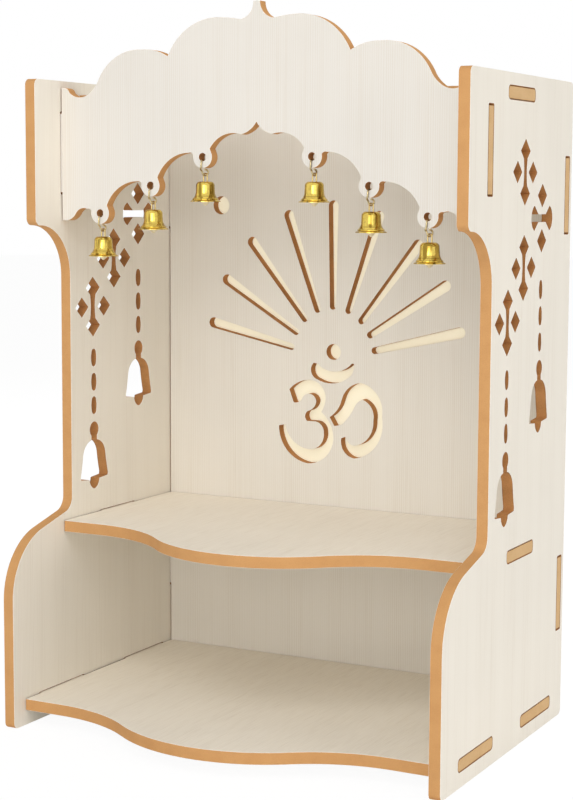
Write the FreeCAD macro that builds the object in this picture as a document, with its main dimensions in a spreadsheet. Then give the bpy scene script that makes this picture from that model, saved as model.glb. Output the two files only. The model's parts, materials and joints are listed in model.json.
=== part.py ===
# A table-top pooja mandir: a small home temple of slotted boards, with an arched
# crown, two shelves, pierced side boards, a pierced back and six brass bells.
# Millimetres. X runs to the right, Y to the back and Z up. Depths are counted
# forward from the rear edge of the side boards.
import FreeCAD, Part
import math
import os
from FreeCAD import Placement, Rotation, Vector

doc = FreeCAD.newDocument("pooja_mandir")

SIZES = {
    # boards
    "board_thick": 7.5,
    "outer_width": 305.0,
    "fit_gap": 0.25,
    "slot_end_gap": 1.0,
    "slot_round": 0.8,
    "tab_round": 2.6,
    # side boards
    "side_height": 417.0,
    "side_top_depth": 175.5,
    "waist_step": 38.0,
    "waist_drop": 93.0,
    "waist_lift": 7.5,
    "base_reach": 67.5,
    "shoulder_drop": 9.8,
    "shoulder_round": 44.0,
    "waist_foot_round": 10.0,
    "step_round": 4.5,
    "corner_round": 4.0,
    # crown board
    "crown_setback": 28.5,
    "crown_drop": 90.0,
    "crown_height": 134.8,
    "crown_side_gap": 0.8,
    "drop_round": 6.8,
    "bell_hole_round": 2.6,
    "bell_end_margin": 30.0,
    "bell_lift": 4.8,
    "bell_step": 17.8,
    # back board and its lining
    "back_depth": 12.0,
    "top_inset": 8.0,
    "back_tab_lift": 60.0,
    "back_tab_drop": 48.6,
    "back_tab_length": 47.5,
    "motif_aside": 13.4,
    "motif_grid": 1.0,
    "wall_hole_round": 6.4,
    "wall_hole_margin": 43.0,
    "wall_hole_drop": 72.5,
    "lining_thick": 1.0,
    "lining_margin": 3.0,
    # shelves and brace
    "upper_shelf_top": 128.0,
    "upper_setback": 57.5,
    "upper_swell": 47.5,
    "upper_tab_rear": 60.0,
    "upper_tab_length": 45.0,
    "lower_shelf_top": 17.5,
    "lower_setback": 12.0,
    "lower_swell": 38.0,
    "lower_tab_rear": 22.0,
    "lower_tab_length": 54.0,
    "lower_tab_setback": 26.5,
    "wave_margin": 28.0,
    "brace_gap": 14.5,
    "brace_deep": 64.0,
    "brace_tab_margin": 9.75,
    # wire links, bells and clappers
    "link_wire": 1.2,
    "link_rest_gap": 0.15,
    "link_side_gap": 0.6,
    "link_height": 9.4,
    "link_top_round": 1.3,
    "link_foot_round": 2.2,
    "eye_wire": 0.9,
    "eye_half_wide": 1.35,
    "eye_height": 5.4,
    "wire_round": 0.7,
    "wire_gap": 0.05,
    "bell_height": 12.6,
    "bell_mouth": 19.2,
    "bell_waist": 12.1,
    "bell_wall": 0.6,
    "staple_wire": 0.7,
    "staple_half_wide": 1.05,
    "staple_drop": 2.0,
    "clapper_ring_round": 1.2,
    "clapper_stem": 0.9,
    "clapper_wide": 5.8,
    "clapper_below": 2.5,
}

sheet = doc.addObject("Spreadsheet::Sheet", "Sizes")
for row, (alias, value) in enumerate(SIZES.items(), start=1):
    sheet.set("A%d" % row, alias)
    sheet.set("B%d" % row, str(value))
    sheet.setAlias("B%d" % row, alias)
doc.recompute()


def size(alias):
    return float(sheet.get(alias))


# Places that several boards share

THICK = size("board_thick")
HALF_OUTER = size("outer_width") / 2
HALF_INNER = HALF_OUTER - THICK
WAIST_DEPTH = size("side_top_depth") - size("waist_step")
BASE_DEPTH = WAIST_DEPTH + size("base_reach")
LOWER_VALLEY = BASE_DEPTH - size("lower_setback")
UPPER_VALLEY = BASE_DEPTH - size("upper_setback")
REAR = (LOWER_VALLEY + size("lower_swell")) / 2
CROWN_DEPTH = size("side_top_depth") - size("crown_setback")
CROWN_FOOT = size("side_height") - size("crown_drop")
BOARD_TOP = size("side_height") - size("top_inset")
SHELF_TOP = size("upper_shelf_top")
BACK_FOOT = size("lower_shelf_top") - THICK
parts = []


def at_depth(depth):
    """Y of a point that lies so far forward of the side boards' rear edge."""
    return REAR - depth


# Outlines


def same(x, y):
    return (x, y)


def rounded(corners, spot=same):
    """Edges of a closed outline from (x, y, corner radius) points."""
    points = [Vector(*spot(x, y), 0) for x, y, r in corners]
    count = len(points)
    starts = []
    ends = []
    mids = []
    for k in range(count):
        here = points[k]
        back = (points[k - 1] - here).normalize()
        ahead = (points[(k + 1) % count] - here).normalize()
        half = back.getAngle(ahead) / 2
        r = corners[k][2]
        reach = r / math.tan(half)
        starts.append(here + back * reach)
        ends.append(here + ahead * reach)
        mids.append(here + (back + ahead).normalize() * (r / math.sin(half) - r))
    edges = []
    for k in range(count):
        if corners[k][2]:
            edges.append(Part.Arc(starts[k], mids[k], ends[k]))
        following = starts[(k + 1) % count]
        if ends[k].distanceToPoint(following) > 1e-6:
            edges.append(Part.LineSegment(ends[k], following))
    return edges


def run(start, steps, spot=same):
    """Edges of a run: (x, y) is a straight step, (mid, end) an arc."""
    edges = []
    here = Vector(*spot(*start), 0)
    for step in steps:
        if isinstance(step[0], tuple):
            mid = Vector(*spot(*step[0]), 0)
            end = Vector(*spot(*step[1]), 0)
            edges.append(Part.Arc(here, mid, end))
        else:
            end = Vector(*spot(*step), 0)
            edges.append(Part.LineSegment(here, end))
        here = end
    return edges


def flipped(steps):
    """The same steps on the other side of the middle line."""
    out = []
    for step in steps:
        if isinstance(step[0], tuple):
            out.append(((-step[0][0], step[0][1]), (-step[1][0], step[1][1])))
        else:
            out.append((-step[0], step[1]))
    return out


def reversed_steps(start, steps):
    """The same run walked from its end back to its start."""
    points = [start]
    for step in steps:
        points.append(step[1] if isinstance(step[0], tuple) else step)
    out = []
    for k in range(len(steps) - 1, -1, -1):
        if isinstance(steps[k][0], tuple):
            out.append((steps[k][0], points[k]))
        else:
            out.append(points[k])
    return out


def mirrored_outline(start, right):
    """Closed outline from its right half, which starts and ends on the middle line."""
    return run(start, right + reversed_steps(start, flipped(right)))


def box_edges(x0, x1, y0, y1, r=0.0):
    return rounded([(x0, y0, r), (x1, y0, r), (x1, y1, r), (x0, y1, r)])


def circle_edge(x, y, r):
    return [Part.Circle(Vector(x, y, 0), Vector(0, 0, 1), r)]


# Bodies


def new_body(label):
    body = doc.addObject("PartDesign::Body", label)
    body.Label = label
    parts.append(body)
    return body


def origin_plane(body, role):
    for feature in body.Origin.OriginFeatures:
        if feature.Role == role:
            return feature
    raise ValueError(role)


def new_sketch(body, name, role, edges):
    sketch = body.newObject("Sketcher::SketchObject", name)
    sketch.AttachmentSupport = [(origin_plane(body, role), "")]
    sketch.MapMode = "FlatFace"
    sketch.addGeometry(edges, False)
    return sketch


def pad(body, name, role, edges, length, midplane=False):
    sketch = new_sketch(body, name + "_sketch", role, edges)
    feature = body.newObject("PartDesign::Pad", name)
    feature.Profile = sketch
    feature.Midplane = midplane
    feature.setExpression("Length", length)
    doc.recompute()
    return feature


def pocket(body, name, role, edges, length):
    """Cut along the sketch's normal, the way the board was padded."""
    before = body.Shape.Volume
    sketch = new_sketch(body, name + "_sketch", role, edges)
    feature = body.newObject("PartDesign::Pocket", name)
    feature.Profile = sketch
    feature.Reversed = True
    feature.setExpression("Length", length)
    doc.recompute()
    if body.Shape.Volume >= before - 1e-3:
        raise RuntimeError("%s cuts nothing" % name)
    return feature


def turned(body, name, edges):
    """Turn a half section about the upright axis."""
    section = new_sketch(body, name + "_profile", "XZ_Plane", edges)
    feature = body.newObject("PartDesign::Revolution", name + "_turned")
    feature.Profile = section
    feature.ReferenceAxis = (section, ["V_Axis"])
    feature.Angle = 360
    doc.recompute()
    return feature


def bent_wire(body, name, path_role, path, section_role, section):
    spine = new_sketch(body, name + "_path", path_role, path)
    profile = new_sketch(body, name + "_section", section_role, section)
    wire = body.newObject("PartDesign::AdditivePipe", name + "_wire")
    wire.Profile = profile
    wire.Spine = spine
    doc.recompute()
    return wire


def set_place(obj, x=None, y=None, z=None):
    for axis, formula in (("x", x), ("y", y), ("z", z)):
        if formula is not None:
            obj.setExpression("Placement.Base." + axis, formula)


# Side boards

SLOT_HALF = THICK / 2 + size("fit_gap")
CROWN_TAB_FOOT = CROWN_FOOT + 0.134 * size("crown_height")
CROWN_TAB_TOP = CROWN_FOOT + 0.512 * size("crown_height")
BACK_TABS = (
    (size("back_tab_lift"), size("back_tab_lift") + size("back_tab_length")),
    (size("side_height") - size("back_tab_drop") - size("back_tab_length"),
     size("side_height") - size("back_tab_drop")),
)
UPPER_TABS = ((size("upper_tab_rear"), size("upper_tab_rear") + size("upper_tab_length")),)
LOWER_TABS = (
    (size("lower_tab_rear"), size("lower_tab_rear") + size("lower_tab_length")),
    (BASE_DEPTH - size("lower_tab_setback") - size("lower_tab_length"),
     BASE_DEPTH - size("lower_tab_setback")),
)
BRACE_FRONT = CROWN_DEPTH - THICK - size("brace_gap")
BRACE_REAR = BRACE_FRONT - size("brace_deep")
BRACE_TABS = ((BRACE_REAR + size("brace_tab_margin"), BRACE_FRONT - size("brace_tab_margin")),)


def side_outline():
    """Rear edge upright; a coved waist and a sloping shoulder in front."""
    rear = at_depth(0)
    top_front = at_depth(size("side_top_depth"))
    base_front = at_depth(BASE_DEPTH)
    waist = at_depth(WAIST_DEPTH)
    corner = size("corner_round")
    step = size("step_round")
    cove = 0.987 * (size("waist_step") - step)
    under = size("side_height") - size("waist_drop")
    return rounded([
        (rear, 0, corner),
        (rear, size("side_height"), corner),
        (top_front, size("side_height"), corner),
        (top_front, under, step),
        (waist, under, cove),
        (waist, SHELF_TOP + size("waist_lift"), size("waist_foot_round")),
        (base_front, SHELF_TOP - size("shoulder_drop"), size("shoulder_round")),
        (base_front, 0, corner),
    ])


def upright_slot(face_depth, foot, top):
    """Slot for the tab of an upright board whose front face lies at face_depth."""
    y = at_depth(face_depth) + THICK / 2
    gap = size("slot_end_gap")
    return box_edges(y - SLOT_HALF, y + SLOT_HALF, foot - gap, top + gap, size("slot_round"))


def level_slot(board_top, rear, front):
    """Slot for the tab of a level board, with the tab's own rounded ends."""
    z = board_top - THICK / 2
    gap = size("fit_gap")
    y0 = at_depth(front) - gap
    y1 = at_depth(rear) + gap
    return box_edges(y0, y1, z - SLOT_HALF, z + SLOT_HALF, size("tab_round"))


def side_slots():
    edges = upright_slot(CROWN_DEPTH, CROWN_TAB_FOOT, CROWN_TAB_TOP)
    for foot, top in BACK_TABS:
        edges += upright_slot(size("back_depth"), foot, top)
    for board_top, tabs in ((BOARD_TOP, BRACE_TABS), (SHELF_TOP, UPPER_TABS),
                            (size("lower_shelf_top"), LOWER_TABS)):
        for rear, front in tabs:
            edges += level_slot(board_top, rear, front)
    return edges


# Pierced pattern of the side boards: three spears, lozenges, a spool, two
# chains of beads and two bells. It is drawn for a board of the depth and the
# height below, above the upper shelf, and follows the board when that changes.

PATTERN_DEEP = 137.5
PATTERN_HIGH = 289.0
SPEAR_DEPTHS = (111.0, 85.0, 85.0)
SPEAR_MIDDLES = (140.5, 172.5, 230.5)
SPEAR_HALF_HIGH = 20.3
LOZENGE_HALF_WIDE = 8.4
LOZENGE_HALF_HIGH = 7.5
LOZENGE_ROUND = 0.6
SMALL_HALF_WIDE = 7.8
SMALL_HALF_HIGH = 6.9
SMALL_ASIDE = 13.2
STEM_HALF_WIDE = 2.4
CHAIN_REAR_DEPTH = 54.0
CHAIN_FRONT_DEPTH = 110.5
REAR_BEADS = (158.0, 141.5, 125.0)
FRONT_BEADS = (106.0, 89.5, 73.5)
BEAD_HALF_WIDE = 3.2
BEAD_HALF_HIGH = 6.0
BEAD_END_HALF_WIDE = 2.7
BEAD_END_HIGH = 2.6
REAR_LOZENGES = (216.5, 188.5)
SPOOL_MIDDLE = 202.5
SPOOL_HALF_LONG = 19.2
SPOOL_BLADE_DEEP = 5.8
SPOOL_CHEEK_DEEP = 6.9
SPOOL_BLADE_HALF_HIGH = 7.8
BELL_CUT_TOPS = (113.7, 62.3)
BELL_CUT_HIGH = 46.0
BELL_CUT_HALF_WIDE = 16.6


def on_side(depth, lift):
    """A point of the pattern's drawing, placed on the board."""
    return (at_depth(depth * WAIST_DEPTH / PATTERN_DEEP),
            SHELF_TOP + lift * (size("side_height") - SHELF_TOP) / PATTERN_HIGH)


def lozenge(depth, z, half_wide, half_high):
    return rounded([
        (depth + half_wide, z, LOZENGE_ROUND),
        (depth, z - half_high, LOZENGE_ROUND),
        (depth - half_wide, z, LOZENGE_ROUND),
        (depth, z + half_high, LOZENGE_ROUND),
    ], on_side)


def spear(depth, z):
    """Two lozenges joined by a stem with hollow sides."""
    wide = LOZENGE_HALF_WIDE
    head = z + SPEAR_HALF_HIGH - LOZENGE_HALF_HIGH
    tail = z - SPEAR_HALF_HIGH + LOZENGE_HALF_HIGH
    neck = 1.375 * STEM_HALF_WIDE
    neck_drop = LOZENGE_HALF_HIGH * (1 - neck / wide)
    return run((depth, z + SPEAR_HALF_HIGH), [
        (depth - wide, head),
        (depth - neck, head - neck_drop),
        ((depth - STEM_HALF_WIDE, z), (depth - neck, tail + neck_drop)),
        (depth - wide, tail),
        (depth, z - SPEAR_HALF_HIGH),
        (depth + wide, tail),
        (depth + neck, tail + neck_drop),
        ((depth + STEM_HALF_WIDE, z), (depth + neck, head - neck_drop)),
        (depth + wide, head),
        (depth, z + SPEAR_HALF_HIGH),
    ], on_side)


def spool(depth, z):
    """A level stem with a head like an axe blade at each end."""
    stem = STEM_HALF_WIDE
    high = SPOOL_BLADE_HALF_HIGH
    tip = SPOOL_HALF_LONG - SPOOL_BLADE_DEEP
    root = tip - SPOOL_CHEEK_DEEP
    return run((depth + root, z + stem), [
        (depth - root, z + stem),
        (depth - tip, z + high),
        ((depth - SPOOL_HALF_LONG, z), (depth - tip, z - high)),
        (depth - root, z - stem),
        (depth + root, z - stem),
        (depth + tip, z - high),
        ((depth + SPOOL_HALF_LONG, z), (depth + tip, z + high)),
        (depth + root, z + stem),
    ], on_side)


def bead(depth, z):
    """A long bead with round ends and slightly full sides."""
    wide = BEAD_END_HALF_WIDE
    high = BEAD_HALF_HIGH - BEAD_END_HIGH
    return run((depth - wide, z - high), [
        ((depth - BEAD_HALF_WIDE, z), (depth - wide, z + high)),
        ((depth, z + BEAD_HALF_HIGH), (depth + wide, z + high)),
        ((depth + BEAD_HALF_WIDE, z), (depth + wide, z - high)),
        ((depth, z - BEAD_HALF_HIGH), (depth - wide, z - high)),
    ], on_side)


def bell_cut(depth, top):
    """A bell in outline: ring on top, neck, flared body and clapper."""

    def spot(across, down):
        return on_side(depth - across * BELL_CUT_HALF_WIDE, top - down * BELL_CUT_HIGH)

    half = [
        ((0.32, 0.115), (0.205, 0.204)),
        (0.205, 0.274),
        ((0.61, 0.345), (0.81, 0.47)),
        ((0.88, 0.62), (1.0, 0.80)),
        (0.97, 0.839),
        (0.361, 0.859),
        ((0.22, 0.963), (0.0, 1.0)),
    ]
    return run((0.0, 0.0), half + reversed_steps((0.0, 0.0), flipped(half)), spot)


def side_pattern():
    edges = []
    for depth, z in zip(SPEAR_DEPTHS, SPEAR_MIDDLES):
        edges += spear(depth, z)
        for aside in (-SMALL_ASIDE, SMALL_ASIDE):
            edges += lozenge(depth + aside, z, SMALL_HALF_WIDE, SMALL_HALF_HIGH)
    for z in REAR_LOZENGES:
        edges += lozenge(CHAIN_REAR_DEPTH, z, LOZENGE_HALF_WIDE, LOZENGE_HALF_HIGH)
    edges += spool(CHAIN_REAR_DEPTH, SPOOL_MIDDLE)
    for z in REAR_BEADS:
        edges += bead(CHAIN_REAR_DEPTH, z)
    for z in FRONT_BEADS:
        edges += bead(CHAIN_FRONT_DEPTH, z)
    edges += bell_cut(CHAIN_REAR_DEPTH, BELL_CUT_TOPS[0])
    edges += bell_cut(CHAIN_FRONT_DEPTH, BELL_CUT_TOPS[1])
    return edges


def side_board(label, place):
    body = new_body(label)
    pad(body, label + "_board", "YZ_Plane", side_outline(), "Sizes.board_thick")
    pocket(body, label + "_slots", "YZ_Plane", side_slots(), "Sizes.board_thick")
    pocket(body, label + "_pattern", "YZ_Plane", side_pattern(), "Sizes.board_thick")
    set_place(body, x=place)
    return body


side_board("left_side", "-Sizes.outer_width / 2")
side_board("right_side", "Sizes.outer_width / 2 - Sizes.board_thick")


# Crown board: scalloped top, and an arch hung with six round drops. Its
# outline is drawn in shares of half the inner width and of its own height.

BELL_PITCH = (HALF_INNER - size("bell_end_margin")) / 3
DROPS = [(BELL_PITCH * k, CROWN_FOOT + size("bell_lift") + size("bell_step") * (3 - k))
         for k in (1, 2, 3)]
SCALLOP_RISE = 4.2
CUSP_ASIDE = 5.2


def on_crown(across, up):
    return (across * HALF_INNER, CROWN_FOOT + up * size("crown_height"))


def bulged(a, b, rise):
    """Middle point of an arc from a to b that stands rise off the chord, to its left."""
    dx = b[0] - a[0]
    dy = b[1] - a[1]
    length = math.hypot(dx, dy)
    return ((a[0] + b[0]) / 2 - dy / length * rise, (a[1] + b[1]) / 2 + dx / length * rise)


def crown_drops(here):
    """Steps from the arch's shelf out over the three drops of one half."""
    r = size("drop_round")
    steps = []
    for x, z in DROPS:
        cusp = (x - CUSP_ASIDE, z + CUSP_ASIDE)
        side = (x - 0.972 * r, z + 0.235 * r)
        far = (x + 0.982 * r, z + 0.19 * r)
        steps.append((bulged(here, cusp, SCALLOP_RISE), cusp))
        steps.append(side)
        steps.append(((x, z - r), far))
        here = (x + 1.47 * r, z + 0.41 * r)
        steps.append(((x + 1.12 * r, z + 0.36 * r), here))
    return steps


def crown_right_half():
    """Steps from the arch's tip, out round the drops and the end, to the crown's tip."""
    edge = HALF_INNER - size("crown_side_gap")
    shelf = on_crown(0.0745, 0.402)
    steps = [(on_crown(0.030, 0.423), shelf)] + crown_drops(shelf)
    steps += [
        (on_crown(0.899, 0.056), on_crown(0.925, 0.030)),
        (on_crown(0.944, 0.010), on_crown(0.969, 0.0)),
        (edge, CROWN_FOOT),
        (edge, CROWN_TAB_FOOT),
        (HALF_OUTER, CROWN_TAB_FOOT),
        (HALF_OUTER, CROWN_TAB_TOP),
        (edge, CROWN_TAB_TOP),
        (edge, on_crown(1.0, 0.633)[1]),
        on_crown(0.978, 0.633),
        (on_crown(0.963, 0.626), on_crown(0.953, 0.6105)),
        (on_crown(0.910, 0.5875), on_crown(0.8455, 0.605)),
        (on_crown(0.823, 0.626), on_crown(0.8035, 0.654)),
        (on_crown(0.710, 0.7685), on_crown(0.5725, 0.802)),
        (on_crown(0.500, 0.794), on_crown(0.439, 0.766)),
        (on_crown(0.344, 0.887), on_crown(0.200, 0.935)),
        (on_crown(0.138, 0.931), on_crown(0.079, 0.9215)),
        (on_crown(0.0385, 0.942), on_crown(0.016, 1.0)),
        on_crown(0.0, 1.0),
    ]
    return steps


def crown_holes():
    edges = []
    for x, z in DROPS:
        edges += circle_edge(x, z, size("bell_hole_round"))
        edges += circle_edge(-x, z, size("bell_hole_round"))
    return edges


REAR_EDGE = ("(Sizes.side_top_depth - Sizes.waist_step + Sizes.base_reach"
             " - Sizes.lower_setback + Sizes.lower_swell) / 2")
CROWN_FACE = REAR_EDGE + " - Sizes.side_top_depth + Sizes.crown_setback"

crown = new_body("crown")
# the sketch faces the front, so the pad runs forward and the board is set back by its thickness
pad(crown, "crown_board", "XZ_Plane",
    mirrored_outline(on_crown(0.0, 0.4585), crown_right_half()), "Sizes.board_thick")
pocket(crown, "crown_holes", "XZ_Plane", crown_holes(), "Sizes.board_thick")
set_place(crown, y=CROWN_FACE + " + Sizes.board_thick")


# Back board with rays, a dot, a crescent and the Om sign cut through it. The
# rays' middle lies a little left of the board's, at a share of the way up from
# the upper shelf; the signs are drawn from it on a square grid.

MOTIF_X = -size("motif_aside")
MOTIF_Z = SHELF_TOP + 0.3665 * (BOARD_TOP - SHELF_TOP)
RAY_COUNT = 9
RAY_FIRST_ANGLE = 13.2
RAY_FOOT_WIDE = 30.5
RAY_FOOT_HIGH = 34.5
RAY_TIP_WIDE = 100.5
RAY_TIP_HIGH = 109.5
RAY_TIP_HALF = 3.7
RAY_FOOT_HALF = 2.3


def ray(angle):
    """A tapered slot with round ends, from an inner oval out to an outer one."""
    ux = math.cos(angle)
    uz = math.sin(angle)
    foot = 1 / math.hypot(ux / RAY_FOOT_WIDE, uz / RAY_FOOT_HIGH)
    tip = 1 / math.hypot(ux / RAY_TIP_WIDE, uz / RAY_TIP_HIGH)

    def spot(along, aside):
        return (MOTIF_X + ux * along - uz * aside, MOTIF_Z + uz * along + ux * aside)

    inner = foot + RAY_FOOT_HALF
    outer = tip - RAY_TIP_HALF
    return run((inner, RAY_FOOT_HALF), [
        ((foot, 0), (inner, -RAY_FOOT_HALF)),
        (outer, -RAY_TIP_HALF),
        ((tip, 0), (outer, RAY_TIP_HALF)),
        (inner, RAY_FOOT_HALF),
    ], spot)


def on_grid(x, z):
    grid = size("motif_grid")
    return (MOTIF_X + x * grid, MOTIF_Z + z * grid)


def dot():
    x, z = on_grid(0.8, 5.3)
    return circle_edge(x, z, 5.5 * size("motif_grid"))


def crescent():
    """The moon under the dot, blunt at both tips."""
    return run((-14.6, -3.0), [
        ((-16.6, -8.9), (-11.6, -14.4)),
        ((1.2, -16.6), (12.6, -11.8)),
        ((15.9, -7.4), (16.4, -2.2)),
        (14.9, -2.2),
        ((1.6, -8.5), (-11.6, -3.4)),
        (-14.6, -3.0),
    ], on_grid)


def om_three():
    """Left half of the Om sign, shaped like a 3, with a prong at its inner middle."""
    return run((-33.6, -22.5), [
        ((-25.4, -16.7), (-17.6, -15.0)),
        ((-7.6, -20.0), (-5.1, -27.5)),
        ((-6.2, -32.5), (-8.6, -37.0)),
        ((-1.1, -46.0), (1.1, -56.0)),
        ((-6.0, -69.2), (-18.6, -74.0)),
        ((-33.3, -67.6), (-41.6, -51.0)),
        (-41.6, -48.5),
        (-36.9, -47.5),
        ((-30.6, -58.6), (-19.0, -63.9)),
        ((-9.2, -60.4), (-6.3, -51.5)),
        ((-8.6, -46.0), (-13.5, -44.0)),
        (-19.6, -44.0),
        ((-21.0, -40.0), (-19.1, -37.0)),
        ((-14.1, -34.0), (-12.4, -29.5)),
        ((-16.8, -25.0), (-23.6, -28.5)),
        ((-26.2, -31.0), (-30.1, -31.5)),
        (-33.6, -22.5),
    ], on_grid)


def om_curl():
    """Right half of the Om sign: a curl that starts beside the 3's middle."""
    return run((-1.9, -40.3), [
        ((3.8, -35.1), (7.4, -27.5)),
        ((12.6, -19.2), (22.0, -15.3)),
        ((34.2, -22.6), (38.0, -38.0)),
        ((33.2, -58.8), (17.4, -68.0)),
        ((9.3, -63.6), (7.2, -54.5)),
        (10.4, -53.4),
        ((12.9, -57.6), (17.4, -59.2)),
        ((27.6, -53.4), (31.6, -41.0)),
        ((29.0, -30.6), (22.9, -26.7)),
        ((19.6, -28.6), (17.4, -31.5)),
        ((13.6, -38.0), (8.4, -44.0)),
        ((5.2, -45.6), (1.7, -46.2)),
        (-1.9, -40.3),
    ], on_grid)


def back_right_half():
    edge = HALF_INNER - size("fit_gap")
    right = [(edge, BACK_FOOT)]
    for foot, top in BACK_TABS:
        right += [(edge, foot), (HALF_OUTER, foot), (HALF_OUTER, top), (edge, top)]
    return right + [(edge, BOARD_TOP), (0.0, BOARD_TOP)]


def back_cuts():
    edges = []
    step = (180.0 - 2 * RAY_FIRST_ANGLE) / (RAY_COUNT - 1)
    for k in range(RAY_COUNT):
        edges += ray(math.radians(RAY_FIRST_ANGLE + k * step))
    edges += dot() + crescent() + om_three() + om_curl()
    hole_x = HALF_INNER - size("wall_hole_margin")
    hole_z = BOARD_TOP - size("wall_hole_drop")
    for x in (-hole_x, hole_x):
        edges += circle_edge(x, hole_z, size("wall_hole_round"))
    return edges


BACK_REAR = REAR_EDGE + " - Sizes.back_depth + Sizes.board_thick"

back = new_body("back_panel")
pad(back, "back_board", "XZ_Plane",
    mirrored_outline((0.0, BACK_FOOT), back_right_half()), "Sizes.board_thick")
pocket(back, "back_cuts", "XZ_Plane", back_cuts(), "Sizes.board_thick")
set_place(back, y=BACK_REAR)

lining = doc.addObject("Part::Box", "back_lining")
lining.Label = "back_lining"
lining.setExpression(
    "Length", "Sizes.outer_width - 2 * Sizes.board_thick - 2 * Sizes.lining_margin")
lining.setExpression("Width", "Sizes.lining_thick")
lining.setExpression(
    "Height", "Sizes.side_height - Sizes.top_inset - Sizes.lower_shelf_top"
              " + Sizes.board_thick - 2 * Sizes.lining_margin")
set_place(lining, x="-Sizes.outer_width / 2 + Sizes.board_thick + Sizes.lining_margin",
          y=BACK_REAR, z="Sizes.lower_shelf_top - Sizes.board_thick + Sizes.lining_margin")
parts.append(lining)


# Shelves and brace: level boards whose tabs come through the sides


def shelf_outline(valley_depth, swell):
    """Straight at the back and sides, with a wave that swells forward in the middle."""
    edge = HALF_INNER - size("fit_gap")
    rear = at_depth(size("back_depth") + size("fit_gap"))
    valley = at_depth(valley_depth)
    crest = valley - swell
    valley_x = HALF_INNER - size("wave_margin")
    across = valley_x / 2
    rise = swell / 2
    bend = (across * across + rise * rise) / (2 * rise)
    sweep = math.asin(across / bend) / 2
    in_x = math.sin(sweep) * bend
    in_y = (1 - math.cos(sweep)) * bend
    middle = (across, (valley + crest) / 2)
    return run((edge, rear), [
        (-edge, rear),
        (-edge, valley),
        (-valley_x, valley),
        ((-valley_x + in_x, valley - in_y), (-middle[0], middle[1])),
        ((-in_x, crest + in_y), (0.0, crest)),
        ((in_x, crest + in_y), middle),
        ((valley_x - in_x, valley - in_y), (valley_x, valley)),
        (edge, valley),
        (edge, rear),
    ])


def tab_edges(rear, front):
    """End view of a tab, with rounded ends, in the board's own height."""
    return box_edges(at_depth(front), at_depth(rear), 0, THICK, size("tab_round"))


def level_board(label, outline, tabs, top):
    body = new_body(label)
    pad(body, label + "_board", "XY_Plane", outline, "Sizes.board_thick")
    edges = []
    for rear, front in tabs:
        edges += tab_edges(rear, front)
    pad(body, label + "_tabs", "YZ_Plane", edges, "Sizes.outer_width", midplane=True)
    set_place(body, z=top + " - Sizes.board_thick")
    return body


def brace_outline():
    edge = HALF_INNER - size("fit_gap")
    return box_edges(-edge, edge, at_depth(BRACE_FRONT), at_depth(BRACE_REAR))


level_board("upper_shelf", shelf_outline(UPPER_VALLEY, size("upper_swell")), UPPER_TABS,
            "Sizes.upper_shelf_top")
level_board("lower_shelf", shelf_outline(LOWER_VALLEY, size("lower_swell")), LOWER_TABS,
            "Sizes.lower_shelf_top")
level_board("top_brace", brace_outline(), BRACE_TABS, "Sizes.side_height - Sizes.top_inset")


# Bells: a wire link through the crown's hole, the bell on its eye, and the clapper

LINK_HALF = THICK / 2 + size("link_side_gap") + size("link_wire") / 2
LINK_SLOPE = 0.8
CROWN_MIDDLE = CROWN_FACE + " + Sizes.board_thick / 2"


def link_path():
    """Closed wire across the board's thickness: level through the hole, pointed below."""
    foot = size("link_foot_round")
    bend = size("link_top_round")
    fall = LINK_HALF * LINK_SLOPE
    tip = foot - size("link_height") - foot / math.sin(math.atan2(LINK_HALF, fall))
    edges = rounded([
        (-LINK_HALF, 0, bend),
        (-LINK_HALF, tip + fall, foot),
        (0, tip, foot),
        (LINK_HALF, tip + fall, foot),
        (LINK_HALF, 0, bend),
    ])
    # the top is split where the section stands
    top = edges[-1]
    middle = Vector(0, 0, 0)
    return ([Part.LineSegment(middle, top.EndPoint)] + edges[:-1]
            + [Part.LineSegment(top.StartPoint, middle)])


def make_link(label, x, z):
    body = new_body(label)
    bent_wire(body, label, "YZ_Plane", link_path(),
              "XZ_Plane", circle_edge(0, 0, size("link_wire") / 2))
    set_place(body, x=x, y=CROWN_MIDDLE, z=z)
    return body


def wire_loop(name, half_wide, length, wire, root):
    """Two legs and a level bar; a negative length hangs it down from its root."""
    body = doc.addObject("PartDesign::Body", name)
    half = size(half_wide)
    r = size("wire_round")
    turn = math.copysign(r, length)
    near = r * (1 - math.sqrt(0.5))
    low = math.copysign(near, length)
    path = run((-half, 0), [
        (-half, length - turn),
        ((-half + near, length - low), (-half + r, length)),
        (half - r, length),
        ((half - near, length - low), (half, length - turn)),
        (half, 0),
    ])
    bent_wire(body, name, "XZ_Plane", path, "XY_Plane",
              circle_edge(-half, 0, size(wire) / 2))
    set_place(body, z=root)
    return body


# heights over the mouth, as shares of the bell's height and of its wall
DISH = 0.958
EYE_ROOT = "Sizes.bell_height * %g - Sizes.bell_wall / 3" % DISH
STAPLE_ROOT = "Sizes.bell_height * %g - Sizes.bell_wall * 0.6" % DISH
EYE_LENGTH = (size("eye_height") - size("eye_wire") / 2
              + (1 - DISH) * size("bell_height") + size("bell_wall") / 3)
STAPLE_LENGTH = size("staple_drop") + 0.4 * size("bell_wall")


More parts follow.
